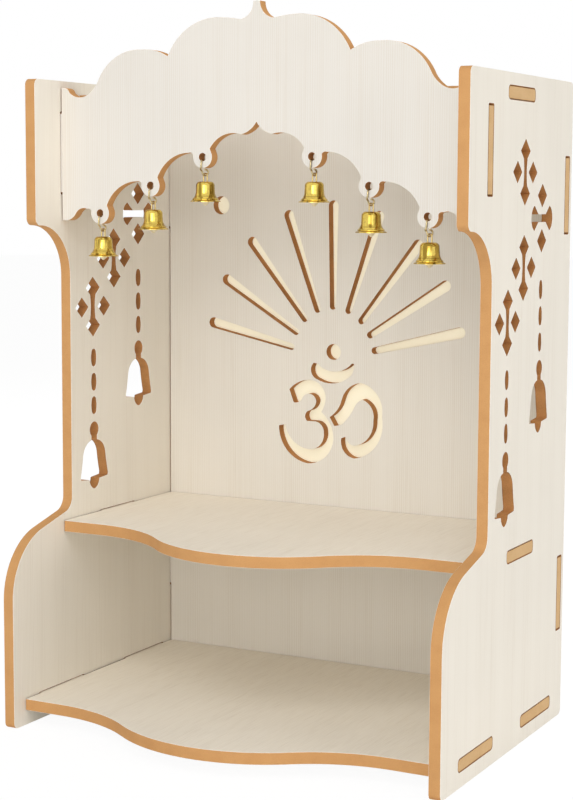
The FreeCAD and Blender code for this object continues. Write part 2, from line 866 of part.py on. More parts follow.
def bell_section():
    """Half section of the bell, wall and all, from the mouth at height 0."""
    mouth = size("bell_mouth") / 2
    waist = size("bell_waist") / 2
    wall = size("bell_wall")
    flare = mouth - waist

    def outside(share, up):
        return (waist + share * flare, up * size("bell_height"))

    def crown_of_bell(share, up):
        return (share * waist, up * size("bell_height"))

    return run((mouth, 0), [
        outside(1.0, 0.03),
        outside(0.57, 0.10),
        (outside(0.60, 0.135), outside(0.47, 0.17)),
        (outside(0.12, 0.32), outside(0.0, 0.50)),
        crown_of_bell(0.965, 0.76),
        (crown_of_bell(0.88, 0.92), crown_of_bell(0.70, 0.99)),
        crown_of_bell(0.60, 1.0),
        crown_of_bell(0.48, DISH),
        (0, DISH * size("bell_height")),
        (0, DISH * size("bell_height") - wall),
        (0.50 * waist, DISH * size("bell_height") - wall),
        ((0.84 * waist - wall / 2, 0.85 * size("bell_height")),
         (0.965 * waist - wall, 0.74 * size("bell_height"))),
        (waist - wall, 0.50 * size("bell_height")),
        ((waist + 0.15 * flare - wall, 0.26 * size("bell_height")),
         (mouth - 1.4 * wall, 0)),
        (mouth, 0),
    ])


def make_bell(label, x, z):
    shell = doc.addObject("PartDesign::Body", label + "_shell")
    turned(shell, label, bell_section())
    eye = wire_loop(label + "_eye", "eye_half_wide", EYE_LENGTH, "eye_wire", EYE_ROOT)
    staple = wire_loop(label + "_staple", "staple_half_wide", -STAPLE_LENGTH, "staple_wire",
                       STAPLE_ROOT)
    whole = doc.addObject("Part::MultiFuse", label)
    whole.Label = label
    whole.Shapes = [shell, eye, staple]
    set_place(whole, x=x, y=CROWN_MIDDLE, z=z)
    parts.append(whole)
    return whole


# the clapper's ring rests on the staple's bar
BAR_HEIGHT = "Sizes.bell_height * %g - Sizes.bell_wall - Sizes.staple_drop" % DISH
RING_HEIGHT = (BAR_HEIGHT + " + Sizes.staple_wire + Sizes.wire_gap"
               " - Sizes.clapper_ring_round")
RING_FOOT = (DISH * size("bell_height") - size("bell_wall") - size("staple_drop")
             + size("staple_wire") + size("wire_gap") - 2 * size("clapper_ring_round"))


def clapper_section():
    """Half section of the clapper's stem and pointed weight; height 0 is the bell's mouth."""
    stem = size("clapper_stem") / 2
    wide = size("clapper_wide") / 2
    foot = -size("clapper_below")
    return run((0, foot), [
        (0.10 * wide, foot),
        ((0.20 * wide, 0.965 * foot), (0.26 * wide, 0.87 * foot)),
        (0.93 * wide, 0.13 * foot),
        ((wide, 0.02 * wide), (0.86 * wide, 0.14 * wide)),
        (stem, 0.62 * wide),
        (stem, RING_FOOT),
        (0, RING_FOOT),
        (0, foot),
    ])


def make_clapper(label, x, z):
    weight = doc.addObject("PartDesign::Body", label + "_weight")
    turned(weight, label, clapper_section())
    ring = doc.addObject("Part::Torus", label + "_ring")
    ring.setExpression("Radius1", "Sizes.clapper_ring_round")
    ring.setExpression("Radius2", "Sizes.staple_wire / 2")
    ring.Placement = Placement(Vector(0, 0, 0), Rotation(Vector(0, 1, 0), 90))
    set_place(ring, z=RING_HEIGHT)
    whole = doc.addObject("Part::MultiFuse", label)
    whole.Label = label
    whole.Shapes = [weight, ring]
    set_place(whole, x=x, y=CROWN_MIDDLE, z=z)
    parts.append(whole)
    return whole


PITCH = "(Sizes.outer_width / 2 - Sizes.board_thick - Sizes.bell_end_margin) / 3"
LINK_TOP = ("Sizes.side_height - Sizes.crown_drop + Sizes.bell_lift + Sizes.bell_step * %d"
            " - Sizes.bell_hole_round + Sizes.link_wire / 2 + Sizes.link_rest_gap")
MOUTH = (LINK_TOP + " - Sizes.link_height + Sizes.link_wire / 2 + Sizes.eye_wire"
                    " + Sizes.wire_gap - Sizes.eye_height - Sizes.bell_height")
for number, place in enumerate((-3, -2, -1, 1, 2, 3), start=1):
    bell_x = "%d * %s" % (place, PITCH)
    steps_up = 3 - abs(place)
    make_link("link_%d" % number, bell_x, LINK_TOP % steps_up)
    make_bell("bell_%d" % number, bell_x, MOUTH % steps_up)
    make_clapper("clapper_%d" % number, bell_x, MOUTH % steps_up)

doc.recompute()


# Check every object and write each piece

for obj in doc.Objects:
    if "Invalid" in obj.State or "Error" in obj.State:
        raise RuntimeError("%s: %s" % (obj.Name, obj.State))
os.makedirs("parts", exist_ok=True)
for piece in parts:
    shape = piece.Shape
    if shape.isNull() or not shape.isValid() or len(shape.Solids) != 1:
        raise RuntimeError("%s is not one sound solid" % piece.Label)
    shape.exportStep("parts/%s.step" % piece.Label)
    box = shape.BoundBox
    print("%-14s %9.0f mm3  x %7.1f %7.1f  y %7.1f %7.1f  z %7.1f %7.1f" % (
        piece.Label, shape.Volume, box.XMin, box.XMax, box.YMin, box.YMax, box.ZMin, box.ZMax))
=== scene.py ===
import json
import math

import bmesh
import bpy
from mathutils import Matrix, Vector


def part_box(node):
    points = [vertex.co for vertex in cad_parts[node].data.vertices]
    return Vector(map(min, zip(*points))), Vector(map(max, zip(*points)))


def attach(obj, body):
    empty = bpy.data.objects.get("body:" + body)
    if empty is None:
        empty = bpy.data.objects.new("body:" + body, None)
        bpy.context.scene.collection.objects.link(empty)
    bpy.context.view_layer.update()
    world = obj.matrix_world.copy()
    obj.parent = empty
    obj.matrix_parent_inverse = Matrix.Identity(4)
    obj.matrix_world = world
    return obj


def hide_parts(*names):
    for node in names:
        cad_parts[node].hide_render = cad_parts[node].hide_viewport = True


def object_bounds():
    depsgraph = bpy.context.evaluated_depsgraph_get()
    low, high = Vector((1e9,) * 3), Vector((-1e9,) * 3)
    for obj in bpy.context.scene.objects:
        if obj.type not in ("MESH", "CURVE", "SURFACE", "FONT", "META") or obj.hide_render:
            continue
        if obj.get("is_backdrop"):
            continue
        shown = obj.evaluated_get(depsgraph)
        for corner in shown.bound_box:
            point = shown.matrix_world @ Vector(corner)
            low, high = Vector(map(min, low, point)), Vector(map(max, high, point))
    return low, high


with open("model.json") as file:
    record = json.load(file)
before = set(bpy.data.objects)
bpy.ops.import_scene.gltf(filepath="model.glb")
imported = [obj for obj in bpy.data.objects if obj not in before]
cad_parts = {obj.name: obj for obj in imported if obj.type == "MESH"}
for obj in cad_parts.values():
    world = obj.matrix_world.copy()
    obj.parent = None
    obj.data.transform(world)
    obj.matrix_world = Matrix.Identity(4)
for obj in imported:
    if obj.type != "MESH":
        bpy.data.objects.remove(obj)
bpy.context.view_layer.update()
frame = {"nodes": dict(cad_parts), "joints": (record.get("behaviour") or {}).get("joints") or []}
nodes = frame["nodes"]

# View of the temple
# Seen from a little above its upper shelf and from the right, so that the front,
# the outer face of the right side board and the inner face of the left one show.
VIEW_YAW = math.radians(27.687)
VIEW_PITCH = math.radians(6.371)
VIEW_ROLL = math.radians(0.260)
VIEW_SPOT = (0.54096, -1.01872, 0.34538)
VIEW_SHIFT = (-0.0020, -0.0054)
LENS_LENGTH = 81.69
SENSOR_WIDTH = 36
NEAREST_SEEN = 0.05

ahead = Vector((-math.sin(VIEW_YAW) * math.cos(VIEW_PITCH),
                math.cos(VIEW_YAW) * math.cos(VIEW_PITCH), -math.sin(VIEW_PITCH)))
level = Vector((math.cos(VIEW_YAW), math.sin(VIEW_YAW), 0))
upward = level.cross(ahead)
rightward = math.cos(VIEW_ROLL) * level + math.sin(VIEW_ROLL) * upward
upward = rightward.cross(ahead)
camera_data = bpy.data.cameras.new("view")
camera_data.sensor_width = SENSOR_WIDTH
camera_data.lens = LENS_LENGTH
camera_data.shift_x, camera_data.shift_y = VIEW_SHIFT
camera_data.clip_start = NEAREST_SEEN
camera = bpy.data.objects.new("view", camera_data)
bpy.context.scene.collection.objects.link(camera)
turned = Matrix((rightward, upward, -ahead)).transposed().to_4x4()
camera.matrix_world = Matrix.Translation(VIEW_SPOT) @ turned
bpy.context.scene.camera = camera
bpy.context.scene.view_settings.view_transform = "Standard"

# Table top and room
# A plain white table top in a white room. The top keeps the temple's soft shadow,
# and the room is seen white by the eye and in the polished metal.
ROOM_LIGHT = 0.42
ROOM_SEEN = 1.0
TABLE_RADIUS = 9.0
TABLE_SIDES = 96
TABLE_COLOUR = (0.93, 0.925, 0.915, 1)
TABLE_GLOW = 1.035
TABLE_GLOW_SHARE = 0.90
PURE_WHITE = (1, 1, 1, 1)


def put(tree, kind, inputs=None, **settings):
    """Adds a shader node, sets what is given and links what comes from another node."""
    node = tree.nodes.new(kind)
    for name, value in settings.items():
        setattr(node, name, value)
    for name, value in (inputs or {}).items():
        if isinstance(value, bpy.types.NodeSocket):
            tree.links.new(value, node.inputs[name])
        else:
            node.inputs[name].default_value = value
    return node


def reckon(tree, operation, first, second, **settings):
    """Works out one value from two, such as their sum, their product or the larger one."""
    return put(tree, "ShaderNodeMath", {0: first, 1: second},
               operation=operation, **settings).outputs[0]


def ranged(tree, value, low, high, out_low, out_high, **settings):
    """A value stretched from one range to another and kept within the second."""
    return put(tree, "ShaderNodeMapRange",
               {"Value": value, "From Min": low, "From Max": high,
                "To Min": out_low, "To Max": out_high}, **settings).outputs[0]


def seen_directly(tree):
    """One for what the eye sees straight on, in a polished surface or through glass."""
    path = put(tree, "ShaderNodeLightPath").outputs
    shiny = reckon(tree, "MAXIMUM", path["Is Camera Ray"], path["Is Glossy Ray"])
    return reckon(tree, "MAXIMUM", shiny, path["Is Transmission Ray"])


def empty_material(name):
    """A new material with nothing in it yet."""
    material = bpy.data.materials.new(name)
    material.use_nodes = True
    material.node_tree.nodes.clear()
    return material, material.node_tree


room = bpy.data.worlds.new("white_room")
room.use_nodes = True
tree = room.node_tree
tree.nodes.clear()
lit = put(tree, "ShaderNodeBackground", {"Color": PURE_WHITE, "Strength": ROOM_LIGHT})
seen = put(tree, "ShaderNodeBackground", {"Color": PURE_WHITE, "Strength": ROOM_SEEN})
both = put(tree, "ShaderNodeMixShader",
           {0: seen_directly(tree), 1: lit.outputs[0], 2: seen.outputs[0]})
put(tree, "ShaderNodeOutputWorld", {"Surface": both.outputs[0]})
bpy.context.scene.world = room

top_mesh = bpy.data.meshes.new("table_top")
form = bmesh.new()
bmesh.ops.create_circle(form, cap_ends=True, segments=TABLE_SIDES, radius=TABLE_RADIUS)
form.to_mesh(top_mesh)
form.free()
table_top = bpy.data.objects.new("table_top", top_mesh)
bpy.context.scene.collection.objects.link(table_top)
table_paint, tree = empty_material("white_table")
grain = put(tree, "ShaderNodeTexNoise", {"Scale": 60.0, "Detail": 3.0}).outputs["Fac"]
matt = put(tree, "ShaderNodeBsdfPrincipled",
           {"Base Color": TABLE_COLOUR, "Specular IOR Level": 0.2,
            "Roughness": ranged(tree, grain, 0.0, 1.0, 0.55, 0.7)})
white = put(tree, "ShaderNodeEmission", {"Color": PURE_WHITE, "Strength": TABLE_GLOW})
share = reckon(tree, "MULTIPLY", seen_directly(tree), TABLE_GLOW_SHARE)
mixed = put(tree, "ShaderNodeMixShader", {0: share, 1: matt.outputs[0], 2: white.outputs[0]})
put(tree, "ShaderNodeOutputMaterial", {"Surface": mixed.outputs[0]})
top_mesh.materials.append(table_paint)
table_top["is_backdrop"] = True

# Studio lamps
# Five large square lamps: three in front, one at the right and one behind. Those that
# would leave white patches on the polished bells are kept out of reflections.
LAMP_AIM = Vector((0, 0, 0.2))
LAMPS = [
    # name, spot, width, watts, seen in polished metal
    ("high_front_lamp", (0.30, -1.50, 1.70), 1.2, 14.4, False),
    ("low_front_lamp", (0.35, -2.30, 0.55), 0.9, 7.2, True),
    ("wide_front_lamp", (1.10, -2.05, 0.42), 1.6, 7.6, True),
    ("right_lamp", (2.00, -0.30, 0.90), 1.0, 9.5, False),
    ("rear_lamp", (-0.20, 1.60, 1.10), 1.2, 15, False),
]
for name, spot, width, watts, in_metal in LAMPS:
    lamp_data = bpy.data.lights.new(name, "AREA")
    lamp_data.shape = "SQUARE"
    lamp_data.size = width
    lamp_data.energy = watts
    lamp = bpy.data.objects.new(name, lamp_data)
    bpy.context.scene.collection.objects.link(lamp)
    pointed = (LAMP_AIM - Vector(spot)).to_track_quat("-Z", "Y").to_matrix().to_4x4()
    lamp.matrix_world = Matrix.Translation(spot) @ pointed
    lamp.visible_glossy = in_metal

# Side boards
# Two upright boards of 7.5 mm fibreboard with off-white laminate on both faces, cut
# by laser or router. Their raw edges are tan, and the pattern's cut walls are scorched.
LAMINATE_LIGHT = (0.905, 0.850, 0.750, 1)
LAMINATE_STRIPE = (0.640, 0.550, 0.430, 1)
RIM_PALE = (0.92, 0.87, 0.78, 1)
RIM_CHIPPED = (0.74, 0.55, 0.36, 1)
EDGE_TAN = (0.655, 0.350, 0.138, 1)
EDGE_DARK = (0.500, 0.235, 0.080, 1)
TAB_PALE = (0.720, 0.480, 0.245, 1)
TAB_DARK = (0.540, 0.300, 0.120, 1)
# The scorched colours also serve as painted shade at the joints between boards.
SCORCHED_AND_JOINT_SHADE = (0.580, 0.280, 0.100, 1)
SCORCHED_AND_JOINT_SHADE_DARK = (0.190, 0.072, 0.018, 1)
RIM_WIDTH = 0.00020
JOINT_RIM_WIDTH = 0.00040
RIM_STEPS = 2
RIM_ROUNDNESS = 0.5
SHADOW_GAP = 0.00030
END_TIGHTEST, END_LOOSEST = 0.0001, 0.0004
GAPPED_BOARDS = ("back_panel", "upper_shelf", "lower_shelf")
JOINT_MARGIN = 0.0005
BUTTED_DEPTH = 0.001
WELD_DISTANCE = 2e-6
LEVEL_ENOUGH = math.radians(0.5)
SHARP_TURN = math.radians(30)
SKIN_FACES_OUT = 0.97
TAB_FACES_OUT = 0.9
LIP_FACES_OUT = 1.2
SKIN, OUTLINE, CUT_OUT_AND_JOINT_SHADE, RIM, TAB_END = range(5)


def noise(tree, place, scale, detail, roughness=0.5):
    """Random mottling, finer with a larger scale."""
    return put(tree, "ShaderNodeTexNoise", {"Vector": place, "Scale": scale, "Detail": detail,
                                            "Roughness": roughness}).outputs["Fac"]


def between(tree, share, first, second):
    """The first colour, turned into the second one by a share."""
    return put(tree, "ShaderNodeMix", {0: share, 6: first, 7: second},
               data_type="RGBA").outputs[2]


def uneven(tree, height, strength, depth):
    """The lie of a surface with fine bumps in it."""
    return put(tree, "ShaderNodeBump", {"Height": height, "Strength": strength,
                                        "Distance": depth}).outputs[0]


def close_material(tree, looks):
    """Ends a material with a surface of these looks."""
    surface = put(tree, "ShaderNodeBsdfPrincipled", looks)
    put(tree, "ShaderNodeOutputMaterial", {"Surface": surface.outputs[0]})


def laminate(name, grain_axis, across, pale=LAMINATE_LIGHT, grain_stretch=0.02,
             marking=0.34, fleck_from=0.0, fleck_to=1.0, fleck=0.10):
    """Off-white laminate with pinstripes along one axis, side by side across another."""
    material, tree = empty_material(name)
    place = put(tree, "ShaderNodeTexCoord").outputs["Object"]
    along = [1.0, 1.0, 1.0]
    along[grain_axis] = grain_stretch
    drawn = put(tree, "ShaderNodeMapping", {"Vector": place, "Scale": along}).outputs[0]
    hair = noise(tree, drawn, 1700.0, 2.0, 0.6)
    lines = noise(tree, drawn, 560.0, 1.0, 0.4)
    bands = noise(tree, drawn, 70.0, 2.0)
    clouds = noise(tree, place, 9.0, 2.0)
    combed = put(tree, "ShaderNodeTexWave",
                 {"Vector": drawn, "Scale": 215.0, "Distortion": 5.0, "Detail": 1.0,
                  "Detail Scale": 0.6}, bands_direction=across).outputs["Fac"]
    pinstripe = ranged(tree, combed, 0.62, 0.98, 0.0, 1.0, interpolation_type="SMOOTHSTEP")
    vein = ranged(tree, lines, 0.52, 0.74, 0.0, 0.6, interpolation_type="SMOOTHSTEP")
    stripe = reckon(tree, "MAXIMUM", pinstripe, vein)
    strength = ranged(tree, bands, 0.35, 0.68, 0.3 * marking, marking)
    shown = reckon(tree, "MULTIPLY", stripe, strength)
    haze = ranged(tree, hair, fleck_from, fleck_to, 0.0, fleck)
    total = reckon(tree, "ADD", shown, haze, use_clamp=True)
    colour = between(tree, total, pale, LAMINATE_STRIPE)
    tone = ranged(tree, clouds, 0.3, 0.7, 0.975, 1.02)
    toned = put(tree, "ShaderNodeVectorMath", {0: colour, "Scale": tone}, operation="SCALE")
    close_material(tree, {"Base Color": toned.outputs[0],
                          "Roughness": ranged(tree, total, 0.0, 1.0, 0.46, 0.66),
                          "Normal": uneven(tree, total, 0.25, 0.00012),
                          "Specular IOR Level": 0.35})
    return material


def fibreboard(name, light, dark, lip_share):
    """A cut wall of fibreboard: fine fibre specks, faint marks across it and darker lips."""
    material, tree = empty_material(name)
    place = put(tree, "ShaderNodeTexCoord").outputs["Object"]
    specks = noise(tree, place, 1700.0, 2.0, 0.7)
    patches = noise(tree, place, 95.0, 3.0)
    through = put(tree, "ShaderNodeAttribute", attribute_name="through").outputs["Fac"]
    off_middle = reckon(tree, "SUBTRACT", through, 0.5)
    offset = put(tree, "ShaderNodeMath", {0: off_middle}, operation="ABSOLUTE").outputs[0]
    wavy = put(tree, "ShaderNodeMath", {0: patches, 1: 0.12, 2: offset},
               operation="MULTIPLY_ADD").outputs[0]
    lip = ranged(tree, wavy, 0.43, 0.56, 0.0, lip_share)
    fleck = ranged(tree, specks, 0.40, 0.75, 0.0, 0.30)
    blotch = ranged(tree, patches, 0.35, 0.75, 0.0, 0.28)
    some = reckon(tree, "ADD", fleck, blotch)
    total = reckon(tree, "ADD", some, lip, use_clamp=True)
    close_material(tree, {"Base Color": between(tree, total, light, dark),
                          "Roughness": ranged(tree, specks, 0.0, 1.0, 0.72, 0.92),
                          "Normal": uneven(tree, specks, 0.35, 0.00015),
                          "Specular IOR Level": 0.2})
    return material


def broken_rim(name):
    """The thin pale line where the laminate itself is cut and slightly chipped."""
    material, tree = empty_material(name)
    place = put(tree, "ShaderNodeTexCoord").outputs["Object"]
    chips = noise(tree, place, 700.0, 3.0)
    share = ranged(tree, chips, 0.52, 0.72, 0.0, 0.5)
    close_material(tree, {"Base Color": between(tree, share, RIM_PALE, RIM_CHIPPED),
                          "Roughness": ranged(tree, chips, 0.0, 1.0, 0.45, 0.7)})
    return material


raw_edge = fibreboard("raw_edge", EDGE_TAN, EDGE_DARK, 0.25)
scorched_cut_and_joint_shade = fibreboard("scorched_cut_and_joint_shade", SCORCHED_AND_JOINT_SHADE, SCORCHED_AND_JOINT_SHADE_DARK, 0.55)
tab_end = fibreboard("tab_end", TAB_PALE, TAB_DARK, 0.35)
laminate_rim = broken_rim("laminate_rim")
side_laminate = laminate("side_laminate", 2, "Y")

tabbed = [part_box(other) for other in
          ("crown", "back_panel", "upper_shelf", "lower_shelf", "top_brace")]
INNER_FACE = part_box("right_side")[0].x
PANEL_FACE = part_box("back_panel")[0].y


def wall_groups(walls):
    """The cut walls, as groups of faces that join: the outline and each cut-out."""
    left = set(walls)
    groups = []
    while left:
        first = left.pop()
        group = [first]
        waiting = [first]
        while waiting:
            for edge in waiting.pop().edges:
                for face in edge.link_faces:
                    if face in left:
                        left.remove(face)
                        group.append(face)
                        waiting.append(face)
        groups.append(group)
    return groups


def reach(group):
    """The lowest and highest corner of a group of faces."""
    corners = [vert.co for face in group for vert in face.verts]
    return (Vector([min(c[i] for c in corners) for i in range(3)]),
            Vector([max(c[i] for c in corners) for i in range(3)]))


def spread(group):
    """How far a group of faces reaches, added up over the three directions."""
    low, high = reach(group)
    return sum(high - low)


def slots_of(cut_outs):
    """The reaches of those cut-outs of a side board that another board's tab fills."""
    found = []
    for group in cut_outs:
        low, high = reach(group)
        middle = (low + high) / 2
        if any(near.y < middle.y < far.y and near.z < middle.z < far.z
               for near, far in tabbed):
            found.append((low, high))
    return found


def in_joint(spot, node, slots):
    """True at a tab, a slot or an end that meets another board, where the rim is darkened with
    the scorched finish as painted shade.
    """
    if node.endswith("side"):
        return any(low.y - JOINT_MARGIN < spot.y < high.y + JOINT_MARGIN
                   and low.z - JOINT_MARGIN < spot.z < high.z + JOINT_MARGIN
                   for low, high in slots)
    at_back = node.endswith("shelf") and spot.y > PANEL_FACE - BUTTED_DEPTH
    return abs(spot.x) > INNER_FACE - (0 if node == "crown" else BUTTED_DEPTH) or at_back


def draw_in_ends(form):
    """Takes a board's ends back a little, so that a thin dark line shows at its joints."""
    for vert in form.verts:
        if INNER_FACE - END_LOOSEST < abs(vert.co.x) < INNER_FACE - END_TIGHTEST:
            vert.co.x -= math.copysign(SHADOW_GAP, vert.co.x)


def level_skins(form, through):
    """Joins the small faces of the two laminate skins, so that they show no seams."""
    inside = [e for e in form.edges if len(e.link_faces) == 2
              and all(abs(f.normal[through]) > SKIN_FACES_OUT for f in e.link_faces)]
    bmesh.ops.dissolve_limit(form, angle_limit=LEVEL_ENOUGH, use_dissolve_boundaries=False,
                             verts=[], edges=inside)


def mark_walls(form, through):
    """Marks the skins, the raw outline and the cut-outs, and gives back the cut-outs."""
    walls = [f for f in form.faces if abs(f.normal[through]) < SKIN_FACES_OUT]
    *cut_outs, outline = sorted(wall_groups(walls), key=spread)
    for face in form.faces:
        face.material_index = SKIN
    for face in walls:
        face.material_index = CUT_OUT_AND_JOINT_SHADE
    for face in outline:
        face.material_index = OUTLINE
    return cut_outs


def break_rims(form, through, node, slots):
    """Turns the skins' edges into a thin broken rim, wider round the side boards' slots."""
    lips = [e for e in form.edges if len(e.link_faces) == 2
            and sum(abs(f.normal[through]) for f in e.link_faces) < LIP_FACES_OUT
            and max(abs(f.normal[through]) for f in e.link_faces) > SKIN_FACES_OUT]
    # the wider rims at the joints are painted dark as shade further on
    joint_lips = [e for e in lips if slots
                  and in_joint((e.verts[0].co + e.verts[1].co) / 2, node, slots)]
    open_lips = [e for e in lips if e not in joint_lips]
    for some_lips, width in ((joint_lips, JOINT_RIM_WIDTH), (open_lips, RIM_WIDTH)):
        bmesh.ops.bevel(form, geom=some_lips, offset=width, offset_type="OFFSET",
                        segments=RIM_STEPS, profile=RIM_ROUNDNESS, affect="EDGES",
                        clamp_overlap=False, loop_slide=False, material=RIM)


def paint_joint_shade(form, through, node, slots):
    """Paints shade where a board meets another, in the scorched finish on the rims and butted
    ends there, and leaves the ends of the tabs pale.
    """
    for face in form.faces:
        middle = face.calc_center_median()
        is_outline = face.material_index == OUTLINE
        butted = is_outline and INNER_FACE - BUTTED_DEPTH < abs(middle.x) < INNER_FACE
        # painted shade: rims and butted ends at a joint take the dark scorched finish
        if butted or face.material_index == RIM and in_joint(middle, node, slots):
            face.material_index = CUT_OUT_AND_JOINT_SHADE
        elif (is_outline and abs(face.normal.x) > TAB_FACES_OUT
              and abs(middle.x) > INNER_FACE and through):
            face.material_index = TAB_END


def crisp_edges(form):
    """Lets the walls run round smoothly and keeps every other edge sharp."""
    for face in form.faces:
        face.smooth = face.material_index in (OUTLINE, CUT_OUT_AND_JOINT_SHADE)
    for edge in form.edges:
        kinds = {face.material_index for face in edge.link_faces}
        edge.smooth = (len(kinds) == 1 and len(edge.link_faces) == 2
                       and edge.calc_face_angle(0) < SHARP_TURN)


def board_piece(node, through, face_finish, name):
    """A board with its laminate's thin broken rim, raw outline, scorched cut-outs and painted
    shade at its joints.
    """
    form = bmesh.new()
    form.from_mesh(nodes[node].data)
    bmesh.ops.remove_doubles(form, verts=form.verts, dist=WELD_DISTANCE)
    if node in GAPPED_BOARDS:
        draw_in_ends(form)
    level_skins(form, through)
    cut_outs = mark_walls(form, through)
    slots = slots_of(cut_outs) if node.endswith("side") else []
    break_rims(form, through, node, slots)
    paint_joint_shade(form, through, node, slots)
    crisp_edges(form)

    mesh = bpy.data.meshes.new(name)
    form.to_mesh(mesh)
    form.free()
    for left_over in [a.name for a in mesh.attributes if "normal" in a.name]:
        mesh.attributes.remove(mesh.attributes[left_over])
    low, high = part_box(node)
    depth = mesh.attributes.new("through", "FLOAT", "POINT")
    depth.data.foreach_set("value", [
        (v.co[through] - low[through]) / (high[through] - low[through])
        for v in mesh.vertices])
    for finish in (face_finish, raw_edge, scorched_cut_and_joint_shade, laminate_rim, tab_end):
        mesh.materials.append(finish)
    piece = bpy.data.objects.new(name, mesh)
    bpy.context.scene.collection.objects.link(piece)
    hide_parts(node)
    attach(piece, "case")


board_piece("left_side", 0, side_laminate, "left_side_board")
board_piece("right_side", 0, side_laminate, "right_side_board")

# Crown
# The arched front board, of the same laminate and thickness. Its ends are tabs in long
# slots of the side boards, and each drop of its scalloped foot is drilled for a bell.
# The crown's laminate colour is darker than the side boards': painted shade on the same
# laminate.
CROWN_PAINTED_SHADE_COLOUR = (0.785, 0.748, 0.688, 1)
crown_shaded_laminate = laminate("crown_shaded_laminate", 2, "X", CROWN_PAINTED_SHADE_COLOUR)
board_piece("crown", 1, crown_shaded_laminate, "crown_board")

# Back board
# An upright board between the sides, cut through with the sign, its sunburst and dot,
# and two round holes near its top corners. Its tabs sit in slots of the side boards.
# The back board's laminate colour is a little darker than the side boards': painted shade on the
# same laminate.
BACK_PAINTED_SHADE_COLOUR = (0.840, 0.795, 0.715, 1)
back_shaded_laminate = laminate("back_shaded_laminate", 2, "X", BACK_PAINTED_SHADE_COLOUR)
board_piece("back_panel", 1, back_shaded_laminate, "back_board")

# Shelves and top brace
# Two shelves with a wave along the front edge and a plain brace under the top, all
# tabbed through the sides. Their grain runs from front to back, in short fine flecks.
# The shelves' and brace's laminate colour is a little lighter than the side boards': painted
# light on the same laminate.
LEVEL_PAINTED_LIGHT_COLOUR = (0.960, 0.893, 0.775, 1)
level_lit_laminate = laminate("level_lit_laminate", 1, "X", LEVEL_PAINTED_LIGHT_COLOUR, grain_stretch=0.03,
                          marking=0.20, fleck_from=0.45, fleck_to=0.72, fleck=0.24)
board_piece("upper_shelf", 2, level_lit_laminate, "upper_shelf_board")
board_piece("lower_shelf", 2, level_lit_laminate, "lower_shelf_board")
board_piece("top_brace", 2, level_lit_laminate, "top_brace_board")

# Lining of the back board
# A thin cream sheet that lies flat behind the back board and closes its cut-outs. Light
# from behind comes through it a little, so the cut-outs glow cream.
SHEET_PALE = (0.99, 0.96, 0.85, 1)
SHEET_CREAM = (0.96, 0.92, 0.76, 1)
SHEET_GLOW_SHARE = 0.58
SHEET_CLEARANCE = 0.00015
SHEET_THICKNESS = 0.0007
COLUMNS, ROWS = 24, 33

lining_low, lining_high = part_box("back_lining")
sheet_width = lining_high.x - lining_low.x
sheet_height = lining_high.z - lining_low.z
form = bmesh.new()
grid = [[form.verts.new((lining_low.x + sheet_width * c / COLUMNS,
                         lining_low.y + SHEET_CLEARANCE,
                         lining_low.z + sheet_height * r / ROWS))
         for c in range(COLUMNS + 1)] for r in range(ROWS + 1)]
for lower, upper in zip(grid, grid[1:]):
    for c in range(COLUMNS):
        form.faces.new((lower[c], lower[c + 1], upper[c + 1], upper[c]))
form.normal_update()
bmesh.ops.solidify(form, geom=form.faces[:], thickness=-SHEET_THICKNESS)
lining_mesh = bpy.data.meshes.new("cream_lining")
form.to_mesh(lining_mesh)
form.free()

cream, tree = empty_material("cream_sheet")
place = put(tree, "ShaderNodeTexCoord").outputs["Object"]
fibres = noise(tree, place, 900.0, 4.0, 0.65)
pulp = noise(tree, place, 45.0, 3.0)
colour = between(tree, reckon(tree, "MULTIPLY", fibres, pulp), SHEET_PALE, SHEET_CREAM)
paper = put(tree, "ShaderNodeBsdfPrincipled",
            {"Base Color": colour, "Roughness": 0.85, "Specular IOR Level": 0.15,
             "Normal": uneven(tree, fibres, 0.2, 0.0001)})
glow = put(tree, "ShaderNodeBsdfTranslucent", {"Color": colour})
sheet = put(tree, "ShaderNodeMixShader",
            {0: SHEET_GLOW_SHARE, 1: paper.outputs[0], 2: glow.outputs[0]})
put(tree, "ShaderNodeOutputMaterial", {"Surface": sheet.outputs[0]})
lining_mesh.materials.append(cream)
lining = bpy.data.objects.new("cream_lining", lining_mesh)
bpy.context.scene.collection.objects.link(lining)
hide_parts("back_lining")
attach(lining, "case")

# Bells
# Six small bells of turned and polished yellow brass, with a flared mouth, a bead above
# it and a wire eye in the dished top. The clappers are paler turned brass cones.
# The brown and dull colours serve the tarnish and the painted dark reflection streaks.
BELL_GOLD = (0.80, 0.59, 0.13, 1)
BELL_BROWN = (0.27, 0.16, 0.018, 1)
EYE_COLOUR = (0.56, 0.43, 0.19, 1)
CLAPPER_PALE = (0.90, 0.83, 0.62, 1)
CLAPPER_DULL = (0.72, 0.62, 0.40, 1)
# heights as shares of the whole bell's
BELL_TOP = 0.70
BEAD_TOP = 0.19
GROOVE_FOOT = BEAD_TOP - 0.01
GROOVE_HEAD = BEAD_TOP + 0.035
# how much darker the brass is in a band just above the bead
GROOVE_DARKENING = 0.55


